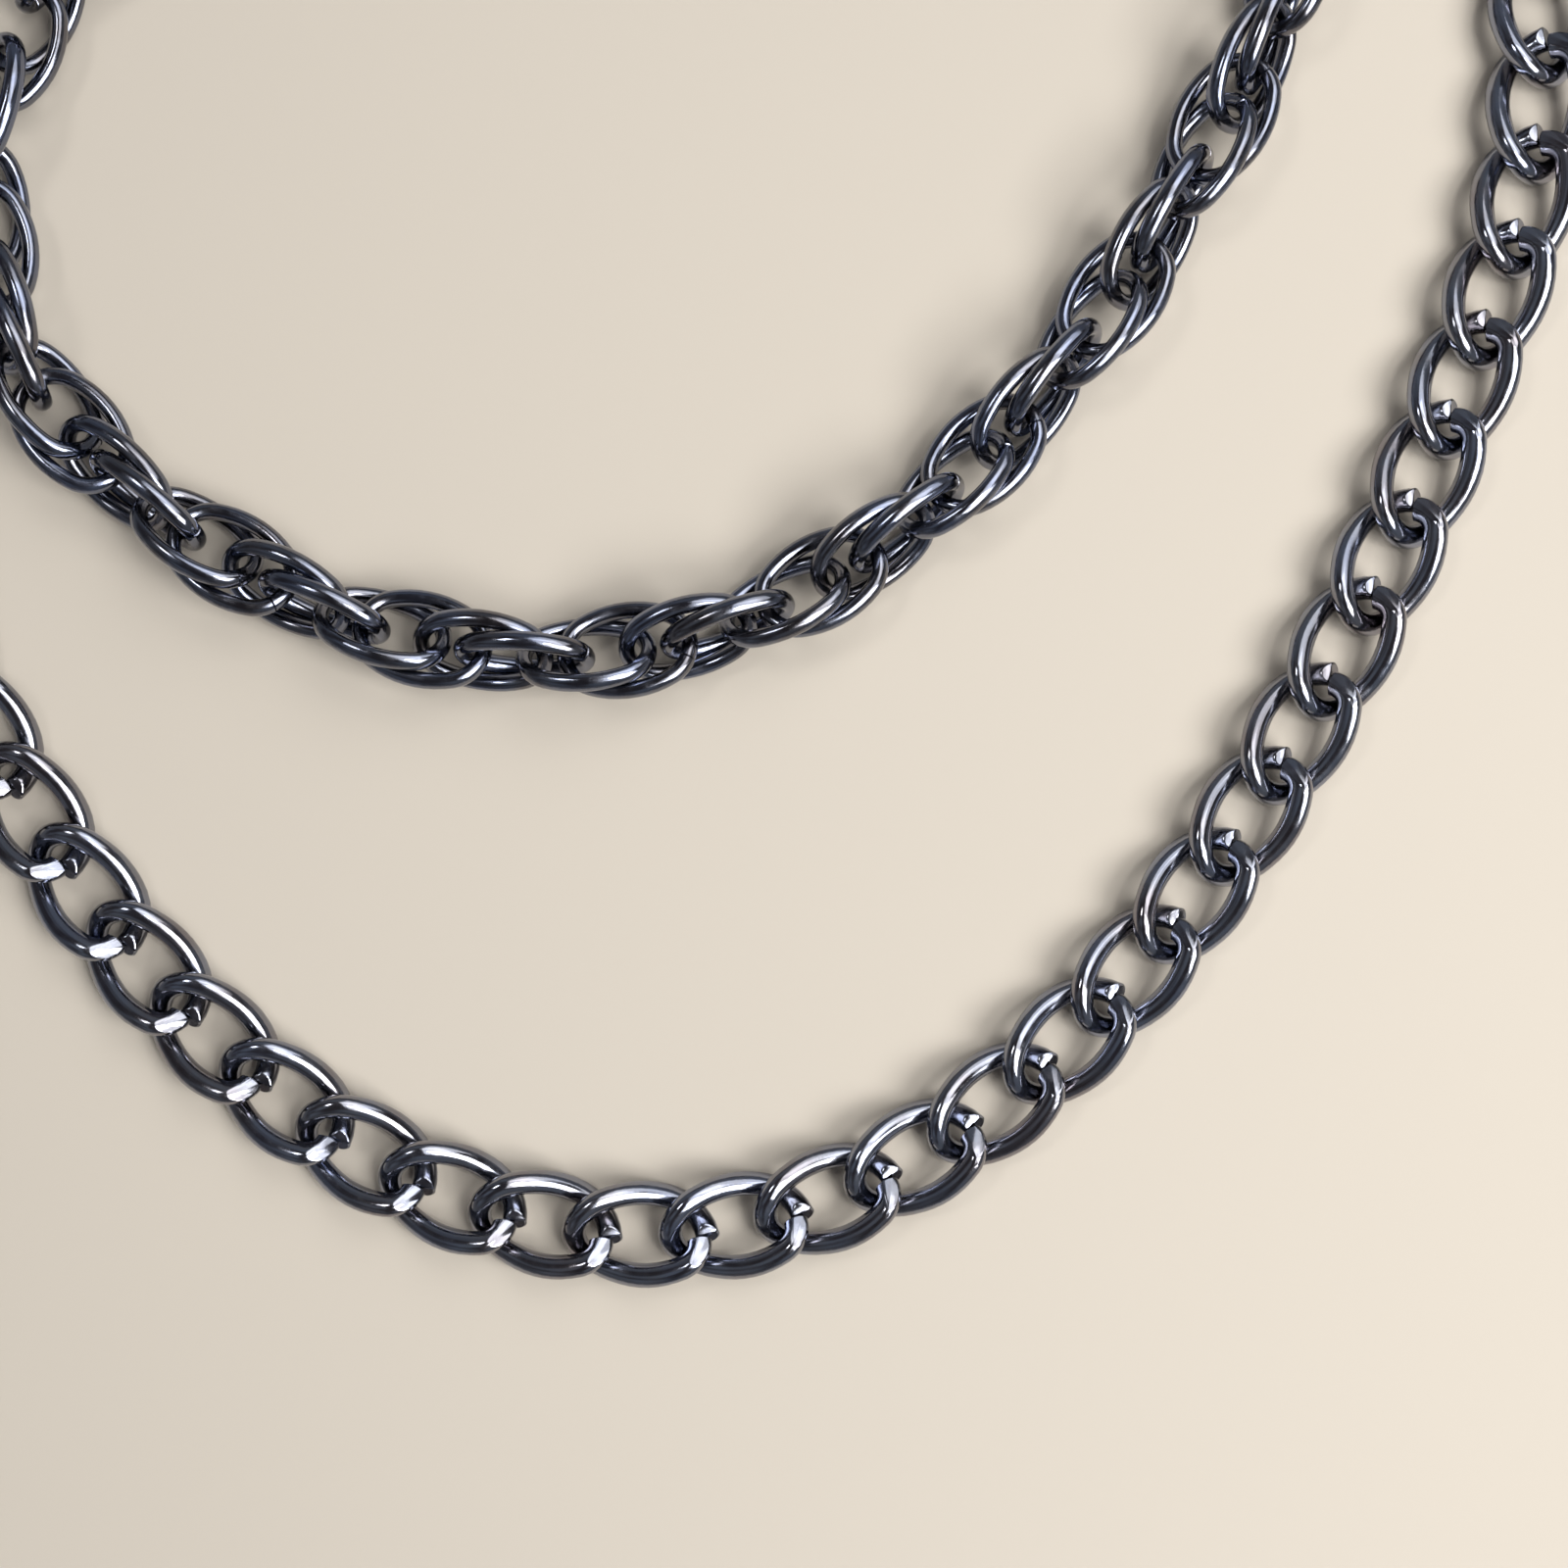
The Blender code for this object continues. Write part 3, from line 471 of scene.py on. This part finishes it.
# %% Rope chain
ROPE_START, ROPE_RUN, ROPE_OFFSETS = 0.014222, 0.0209, (0.0002, 0.0044, 0.01065, 0.01485)
ROPE_TURNS = (44.75, 74.75, 134.75, 164.75)     # roll of each link in a run, in degrees
ROPE_RUN_TURN = 180                             # and what each run adds to it
ROPE_RUNS = 16
for run in range(ROPE_RUNS):
    places = []
    for offset, turn in zip(ROPE_OFFSETS, ROPE_TURNS):
        roll = Matrix.Rotation(radians(turn + ROPE_RUN_TURN * run), 4, "X")
        places.append(frame_at(rope_strand, ROPE_START + run * ROPE_RUN + offset) @ roll)
    lay_run(f"rope_run_{run + 1:02d}", rope_link, places, ROPE_METAL)

for link in (curb_link, rope_link):
    bpy.data.objects.remove(link)
print("rope runs", ROPE_RUNS)

# %% [markdown]
# The rings.  A jump ring is one round of wire that is twisted open, threaded and twisted
# shut.  The CAD ring has straight steps; the new one is a true round of the same radius,
# in the plane that the CAD ring's corners lie in, with its seam turned to the side where
# nothing hangs.

# %% Place of a ring
CAD_RING_STEPS = 10
CORNER_DIGITS = 6            # corners that agree to the micrometre are one
UP, BACK = Vector((0, 0, 1)), Vector((0, 1, 0))


def ring_place(node, seam_side):
    """Radius of a CAD ring's wire, and its frame: Z square to the ring, X to the seam."""
    points = [vertex.co for vertex in nodes[node].data.vertices]
    corners = np.unique(np.round(points, CORNER_DIGITS), axis=0)
    middle = corners.mean(axis=0)
    square = Vector(np.linalg.svd(corners - middle)[2][2])
    centre = Vector(middle)
    spread = [Vector(corner) - centre for corner in corners]
    radius = sum((offset - offset.dot(square) * square).length for offset in spread) / len(spread)
    x_axis = (seam_side - seam_side.dot(square) * square).normalized()
    turn = Matrix((x_axis, square.cross(x_axis), square)).transposed().to_4x4()
    return radius * cos(pi / CAD_RING_STEPS), Matrix.Translation(centre) @ turn


# %% Jump rings
JOIN_WIRE, SMALL_WIRE = 0.0018, 0.00115
RING_SIDES, RING_STEPS = 18, 44
RING_GAP = 0.0001            # half of the open seam


def add_ring(node, wire, seam_side):
    """Winds a ring in the place of a CAD ring."""
    radius, place = ring_place(node, seam_side)
    gap = RING_GAP / radius
    round_of_wire = Arc((0, 0, 0), radius, gap, 2 * pi - gap, RING_STEPS)
    ring = wound_wire(f"{node}_wire", wire, RING_SIDES, [round_of_wire])
    smooth(ring, WIRE_CREASE)
    ring.data.transform(place)
    stand_for(ring, node, node, RING_METAL)
    print(node, "radius", round(radius, 6))


add_ring("join_ring", JOIN_WIRE, BACK)
for node in ("curb_start_ring", "rope_start_ring", "curb_end_ring", "rope_end_ring", "clasp_ring"):
    add_ring(node, SMALL_WIRE, UP)

# %% [markdown]
# The lobster clasp.  Its body is a flat egg, cast in one piece: an eye at the small end, a
# hook round the mouth at the large end, and a slot for the lever.  An egg is a circle
# whose one side is drawn out and made smaller.  The edges are rounded before the slot is
# cut, because the walls beside the slot are too thin for a wide rounding.

# %% Clasp sizes
CLASP_LENGTH, CLASP_WIDTH, CLASP_THICK = 0.0174, 0.0090, 0.0034
EYE, EYE_WALL, HOOK_BAND = 0.0036, 0.0010, 0.0018
PLAY = 0.00035               # clearance of the moving pieces
PIVOT = Vector((0.0062, -0.0015, 0))                        # where the lever turns
NOSE = Vector((CLASP_LENGTH - CLASP_WIDTH / 2, 0, 0))       # centre of the large end
TAIL = Vector((EYE / 2 + EYE_WALL, 0, 0))                   # centre of the small end
print("clasp", CLASP_LENGTH, "by", CLASP_WIDTH, "eye", EYE)

# %% Plates and blocks
EGG_SIDES = 40


def disc(name, centre, radius, thickness, sides):
    """Round plate, level and centred on the clasp's middle plane."""
    bpy.ops.object.select_all(action="DESELECT")
    bpy.ops.mesh.primitive_circle_add(vertices=sides, radius=radius, fill_type="NGON",
                                      location=centre - UP * thickness / 2)
    bpy.ops.object.transform_apply(location=True)
    item = bpy.context.object
    item.name = name
    bpy.ops.object.mode_set(mode="EDIT")
    bpy.ops.mesh.select_all(action="SELECT")
    bpy.ops.mesh.extrude_region_move(TRANSFORM_OT_translate={"value": (0, 0, thickness)})
    return close_up(item)


def egg(name, small, small_radius, large, large_radius, thickness):
    """Disc whose left side is drawn out to a smaller round end."""
    item = disc(name, large, large_radius, thickness, EGG_SIDES)
    lean = (large_radius - small_radius) / (large.x - small.x)
    select_where(item, lambda point: point.x < large.x - large_radius * lean - MERGE)
    size = small_radius / large_radius
    bpy.ops.transform.resize(value=(size, size, 1), center_override=tuple(large))
    bpy.ops.transform.translate(value=tuple(small - large))
    return close_up(item)


def block(name, low, high):
    """Block between two corners."""
    bpy.ops.object.select_all(action="DESELECT")
    bpy.ops.mesh.primitive_cube_add(size=1, location=(low + high) / 2, scale=high - low)
    bpy.ops.object.transform_apply(location=True, scale=True)
    bpy.context.object.name = name
    return bpy.context.object


# %% Join, cut and round
def combine(item, others, operation):
    """Adds other items to an item, or takes them from it, one after the other."""
    for other in others:
        step = item.modifiers.new("combine", "BOOLEAN")
        step.operation = operation
        step.object = other
        step.solver = "EXACT"
        apply_modifier(item, step)
        bpy.data.objects.remove(other)


EDGE_ANGLE = radians(40)


def round_edges(item, width, segments):
    """Rounds the edges of an item that are sharper than the edge angle."""
    step = item.modifiers.new("round", "BEVEL")
    step.width = width
    step.segments = segments
    step.limit_method = "ANGLE"
    step.angle_limit = EDGE_ANGLE
    apply_modifier(item, step)


# %% Clasp body
LEVER_THICK, LEVER_BAND, LEVER_HUB = 0.0015, 0.0016, 0.0022
LEVER_REACH = 0.0087
RIVET_WIDTH = 0.0010
SPRING_WIRE = 0.00035
THROUGH = 2 * CLASP_THICK    # what cuts the clasp goes right through it
MOUTH_BACK, MOUTH_SMALL = Vector((0.0038, 0, 0)), 0.0017
BODY_ROUND, BODY_ROUND_STEPS = 0.00045, 4
GATE_SIDES, PIN_SIDES = 96, 24
CLASP_CREASE = radians(35)
gate_x = PIVOT.x + LEVER_HUB / 2 + 2 * PLAY

clasp_body = egg("clasp_body_cast", TAIL, TAIL.x, NOSE, CLASP_WIDTH / 2, CLASP_THICK)
mouth = egg("mouth", NOSE - MOUTH_BACK, MOUTH_SMALL, NOSE, CLASP_WIDTH / 2 - HOOK_BAND, THROUGH)
eye = disc("eye", TAIL, EYE / 2, THROUGH, EGG_SIDES)
combine(clasp_body, [mouth, eye], "DIFFERENCE")
round_edges(clasp_body, BODY_ROUND, BODY_ROUND_STEPS)
print("rounded body faces", len(clasp_body.data.polygons))

# %% Room for the lever
gate = disc("gate", PIVOT, LEVER_REACH + PLAY, THROUGH, GATE_SIDES)
slice_off(gate, (gate_x, 0, 0), (-1, 0, 0))
slice_off(gate, (0, PIVOT.y + LEVER_HUB / 4, 0), (0, 1, 0))
slot_half = LEVER_THICK / 2 + PLAY
slot_back = PIVOT.y + LEVER_HUB / 2 + 2 * (PLAY + SPRING_WIRE)
slot = block("slot", Vector((PIVOT.x - LEVER_HUB / 2 - PLAY, -CLASP_WIDTH, -slot_half)),
             Vector((gate_x + PLAY, slot_back, slot_half)))
pin_hole = disc("pin_hole", PIVOT, RIVET_WIDTH / 2 + PLAY, THROUGH, PIN_SIDES)
combine(clasp_body, [gate, slot, pin_hole], "DIFFERENCE")
smooth(clasp_body, CLASP_CREASE)
print("clasp body faces", len(clasp_body.data.polygons))

# %% [markdown]
# The lever closes the mouth.  It is stamped from sheet: a hub round the rivet, an arm that
# follows the curve of the nose, and a tab for the thumb.  The arm's section is spun round
# the nose's centre and then drawn back to the pivot.  Its tip is turned square to the
# pivot, so that it just clears the hook's end as it swings.

# %% Lever arm
ARM_START, ARM_END, ARM_TIP = radians(-118), radians(-72), radians(-60)
ARM_STEPS = 11
arm_radius = CLASP_WIDTH / 2 - LEVER_BAND / 2
arm_arc = Arc(tuple(NOSE), arm_radius, ARM_START, ARM_END, ARM_STEPS)
bend, arm_end = on_arc(arm_arc, ARM_START), on_arc(arm_arc, ARM_END)
tip_way = (on_arc(arm_arc, ARM_TIP) - PIVOT).normalized()
tip = PIVOT + tip_way * (LEVER_REACH + PLAY / 2)
tip_turn = atan2(tip_way.y, tip_way.x) - (ARM_END + pi / 2)

bpy.ops.object.select_all(action="DESELECT")
bpy.ops.mesh.primitive_plane_add(size=1, location=bend, rotation=(pi / 2, 0, ARM_START))
lever = bpy.context.object
lever.name = "clasp_lever_arm"
lever.scale = (LEVER_BAND, LEVER_THICK, 1)
bpy.ops.object.transform_apply(location=True, rotation=True, scale=True)
bpy.ops.object.mode_set(mode="EDIT")
bpy.ops.mesh.select_all(action="SELECT")
lead_round(arm_arc)
bpy.ops.mesh.extrude_region_move(TRANSFORM_OT_translate={"value": tuple(tip - arm_end)})
bpy.ops.transform.rotate(value=-tip_turn, orient_axis="Z", center_override=tuple(tip))
bpy.ops.object.mode_set(mode="OBJECT")
ahead = Vector((-sin(ARM_START), cos(ARM_START), 0))
select_where(lever, lambda point: abs((point - bend).dot(ahead)) < MERGE)
bpy.ops.mesh.extrude_region_move(TRANSFORM_OT_translate={"value": tuple(PIVOT - bend)})
close_up(lever)
print("lever tip", tip)

# %% Lever hub and tab
TAB_WIDTH, TAB_THICK = 0.0018, 0.0010
TAB_SHARE = 0.62             # how far along the arm's straight part the tab sits
HUB_SIDES, TAB_SIDES = 32, 24
LEVER_ROUND, LEVER_ROUND_STEPS = 0.00022, 3
tab_place = PIVOT.lerp(bend, TAB_SHARE) - Vector((0, LEVER_BAND / 2 + TAB_WIDTH / 4, 0))
hub = disc("hub", PIVOT, LEVER_HUB / 2, LEVER_THICK, HUB_SIDES)
tab = disc("tab", tab_place, TAB_WIDTH / 2, TAB_THICK, TAB_SIDES)
for item in (lever, hub, tab):
    round_edges(item, LEVER_ROUND, LEVER_ROUND_STEPS)
combine(lever, [hub, tab], "UNION")
hub_hole = disc("hub_hole", PIVOT, RIVET_WIDTH / 2 + PLAY, THROUGH, PIN_SIDES)
combine(lever, [hub_hole], "DIFFERENCE")
smooth(lever, CLASP_CREASE)
print("lever faces", len(lever.data.polygons))

# %% [markdown]
# The rivet and the spring.  The rivet holds the lever in the slot, with a domed head on each
# cheek.  It is a turned piece, so a disc is drawn up and changed in width, step by step.  The
# spring is a short bow of thin wire in the slot, which presses the lever shut.  It is wound
# as the links are.

# %% Rivet
RIVET_HEAD, RIVET_SIDES = 0.0020, 28
# Each step of a domed head: its share of the head's width, and its height over the cheek.
DOME = ((1.0, 0.0), (1.0, 0.00012), (0.88, 0.00028), (0.62, 0.00040), (0.30, 0.00046),
        (0.06, 0.00048))


def turned(name, centre, profile, sides):
    """Solid of revolution: a disc that is drawn up and changed in width, step by step."""
    (radius, height), *rest = profile
    bpy.ops.object.select_all(action="DESELECT")
    bpy.ops.mesh.primitive_circle_add(vertices=sides, radius=radius, fill_type="NGON",
                                      location=centre + UP * height)
    bpy.ops.object.transform_apply(location=True)
    item = bpy.context.object
    item.name = name
    bpy.ops.object.mode_set(mode="EDIT")
    bpy.ops.mesh.select_all(action="SELECT")
    for next_radius, next_height in rest:
        draw = UP * (next_height - height)
        bpy.ops.mesh.extrude_region_move(TRANSFORM_OT_translate={"value": tuple(draw)})
        size = next_radius / radius
        bpy.ops.transform.resize(value=(size, size, 1), center_override=tuple(centre))
        radius, height = next_radius, next_height
    return close_up(item)


head_seat = CLASP_THICK / 2 + PLAY / 3
dome = [(RIVET_HEAD / 2 * share, head_seat + rise) for share, rise in DOME]
rivet_side = [(RIVET_WIDTH / 2, head_seat)] + dome
rivet_line = [(radius, -height) for radius, height in reversed(rivet_side)] + rivet_side
rivet = turned("clasp_rivet_turned", PIVOT, rivet_line, RIVET_SIDES)
smooth(rivet, CLASP_CREASE)
print("rivet faces", len(rivet.data.polygons))

# %% Spring
SPRING_START, SPRING_END = radians(45), radians(135)
SPRING_SIDES, SPRING_STEPS = 12, 16
spring_radius = LEVER_HUB / 2 + PLAY + SPRING_WIRE
spring_arc = Arc(tuple(PIVOT), spring_radius, SPRING_START, SPRING_END, SPRING_STEPS)
spring = wound_wire("clasp_spring_bow", SPRING_WIRE, SPRING_SIDES, [spring_arc])
smooth(spring, WIRE_CREASE)
print("spring faces", len(spring.data.polygons))

# %% [markdown]
# The clasp's place.  Its two joints in the frame give all of it: the swing's axis lies
# across the clasp, the lever's axis stands square to its flat, and the pivot's place fixes
# the rest.

# %% Place the clasp
joints = {joint["name"]: joint for joint in frame["joints"]}
across = -Vector(joints["clasp_swing"]["axis"])
square = Vector(joints["clasp_lever_pivot"]["axis"])
turn = Matrix((across.cross(square), across, square)).transposed()
pivot_at = Vector(joints["clasp_lever_pivot"]["pos_m"])
clasp_place = Matrix.Translation(pivot_at - turn @ PIVOT) @ turn.to_4x4()
for piece, node, body, metal in ((clasp_body, "clasp_body", "clasp_body", CLASP_METAL),
                                 (lever, "clasp_lever", "clasp_lever", LEVER_METAL),
                                 (rivet, "clasp_rivet", "clasp_body", RING_METAL),
                                 (spring, "clasp_spring", "clasp_body", SPRING_METAL)):
    piece.data.transform(clasp_place)
    stand_for(piece, node, body, metal)

# %% [markdown]
# The floor is a plain pale sheet without a pattern, so wide that its edge is never seen.  A
# plane is enough for it, because nothing of it is part of the necklace.

# %% Floor
FLOOR_SIZE = 30.0
PAPER, PAPER_ROUGHNESS = (0.47, 0.423, 0.359), 0.9
bpy.ops.object.select_all(action="DESELECT")
bpy.ops.mesh.primitive_plane_add(size=FLOOR_SIZE)
floor = bpy.context.object
floor.name = "floor"
paper = bpy.data.materials.new("pale_paper")
paper.use_nodes = True
paper_shader = paper.node_tree.nodes["Principled BSDF"]
paper_shader.inputs["Base Color"].default_value = (*PAPER, 1.0)
paper_shader.inputs["Roughness"].default_value = PAPER_ROUGHNESS
floor.data.materials.append(paper)
print("floor", FLOOR_SIZE)

# %% [markdown]
# The light.  Polished metal shows its surroundings more than itself, so the lights are chosen
# for what the wires show.  A window to the right gives the long white streak on each wire.
# Two wide dim panels beside it give the broad grey band, and two small lamps overhead the
# short streaks.  All are area lights, because their shape is seen in the metal.

# %% Lights
VIEW_CENTRE = Vector((0.013977, -0.048302, 0.003))     # the middle of the picture


def soft_box(name, place, size, power):
    """Area light of that size, turned to the middle of the view."""
    light = bpy.data.lights.new(name, "AREA")
    light.shape = "RECTANGLE"
    light.size, light.size_y = size
    light.energy = power
    item = bpy.data.objects.new(name, light)
    bpy.context.scene.collection.objects.link(item)
    item.location = VIEW_CENTRE + Vector(place)
    item.rotation_euler = (-Vector(place)).to_track_quat("-Z", "Y").to_euler()


soft_box("window", place=(0.36, -0.20, 0.45), size=(0.36, 0.28), power=3.4)
soft_box("sky", place=(0.25, 0.04, 0.56), size=(0.80, 0.34), power=2.0)
soft_box("fill", place=(-0.24, 0.16, 0.54), size=(0.16, 0.10), power=0.5)
soft_box("lamp", place=(0.20, -0.02, 0.55), size=(0.16, 0.10), power=0.8)
soft_box("side", place=(0.26, 0.34, 0.44), size=(0.50, 0.36), power=1.0)
bpy.context.scene.view_settings.view_transform = "Standard"
print("lights", [light.name for light in bpy.data.lights])

# %% [markdown]
# The room.  What lies between the lights is seen in the metal too.  A plain grey room would
# make the wires look like plastic, so a wide noise gives it soft dark and light patches.  Near
# the floor it is plain, because a low camera sees that part of it.

# %% Patches of the room
ROOM_DARK, ROOM_LIGHT = (0.06, 0.055, 0.06), (0.20, 0.22, 0.25)
PATCH_SCALE, PATCH_DETAIL, PATCH_STOPS = 1.6, 1.0, (0.40, 0.62)
world = bpy.data.worlds.new("room")
bpy.context.scene.world = world
world.use_nodes = True
room, room_links = world.node_tree.nodes, world.node_tree.links
way = room.new("ShaderNodeTexCoord").outputs["Generated"]
patches = room.new("ShaderNodeTexNoise")
patches.inputs["Scale"].default_value = PATCH_SCALE
patches.inputs["Detail"].default_value = PATCH_DETAIL
room_links.new(way, patches.inputs["Vector"])
shades = room.new("ShaderNodeValToRGB")
for stop, position, shade in zip(shades.color_ramp.elements, PATCH_STOPS, (ROOM_DARK, ROOM_LIGHT)):
    stop.position = position
    stop.color = (*shade, 1.0)
room_links.new(patches.outputs["Fac"], shades.inputs["Fac"])
print("room patches", PATCH_STOPS)

# %% Plain wall near the floor
ROOM_PLAIN = (0.21, 0.215, 0.225)
PLAIN_BELOW, PATCHES_ABOVE = 0.15, 0.35     # sines of the angle over the floor
height = room.new("ShaderNodeSeparateXYZ")
room_links.new(way, height.inputs["Vector"])
above = room.new("ShaderNodeMapRange")
above.inputs["From Min"].default_value = PLAIN_BELOW
above.inputs["From Max"].default_value = PATCHES_ABOVE
room_links.new(height.outputs["Z"], above.inputs["Value"])
walls = room.new("ShaderNodeMix")
walls.data_type = "RGBA"
low_wall, high_wall = (socket for socket in walls.inputs if socket.type == "RGBA")
low_wall.default_value = (*ROOM_PLAIN, 1.0)
room_links.new(above.outputs["Result"], walls.inputs["Factor"])
room_links.new(shades.outputs["Color"], high_wall)
wall_colour = next(socket for socket in walls.outputs if socket.type == "RGBA")
room_links.new(wall_colour, room["Background"].inputs["Color"])
print("room nodes", len(room))

# %% [markdown]
# The camera looks straight down on the front of the two strands.  Its height follows from the
# lens and from the width of the table that it shows.

# %% Camera
FRAME_WIDTH = 0.160          # width of the table that the picture shows
LENS, SENSOR = 50, 36
CLIP_START = 0.01
camera_data = bpy.data.cameras.new("camera")
camera_data.lens = LENS
camera_data.sensor_width = SENSOR
camera_data.clip_start = CLIP_START
camera = bpy.data.objects.new("camera", camera_data)
bpy.context.scene.collection.objects.link(camera)
camera.location = VIEW_CENTRE + UP * FRAME_WIDTH * LENS / SENSOR
bpy.context.scene.camera = camera
print("camera", camera.location)
